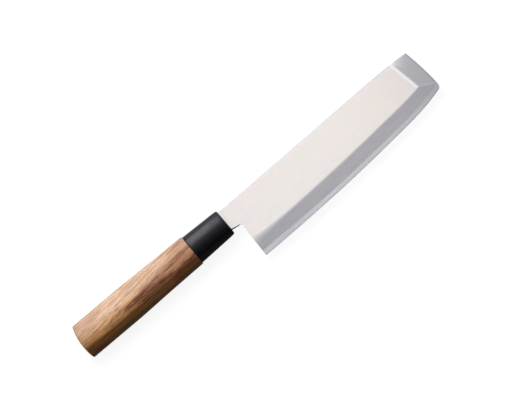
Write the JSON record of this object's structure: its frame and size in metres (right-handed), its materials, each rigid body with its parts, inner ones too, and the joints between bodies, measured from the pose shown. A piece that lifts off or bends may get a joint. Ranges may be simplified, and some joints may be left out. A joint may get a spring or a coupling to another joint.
{
  "type": "single-bevel vegetable knife",
  "caption": "Rectangular single-bevel vegetable knife with a laminated blade, a hollow back, a resin ferrule and a D-shaped wooden grip.",
  "frame": {"origin": "under the middle of the knife's outline, level with the lowest side of the handle, with the knife lying on the blade's flat back", "axes": "+X along the handle from the butt to the tip, +Y in the blade's plane from the edge to the spine, +Z square to the blade, out of the bevelled face"},
  "size_m": [0.3008, 0.048, 0.02],
  "materials": {
    "soft_steel": "soft steel ground lengthwise to a satin face, bevel and facet more matt",
    "hard_steel": "hard carbon steel, finely stoned on the bevel, ground hollow on the back",
    "ferrule_resin": "moulded black resin, lightly polished",
    "grip_wood": "close-grained hardwood, sanded and oiled, with a darker figure in the middle",
    "bedding_resin": "dark adhesive resin, as set"
  },
  "bodies": {
    "root": {"cladding": "soft_steel", "edge_steel": "hard_steel", "ferrule": "ferrule_resin", "wooden_grip": "grip_wood", "tang_bedding": "bedding_resin"}
  },
  "joints": []
}
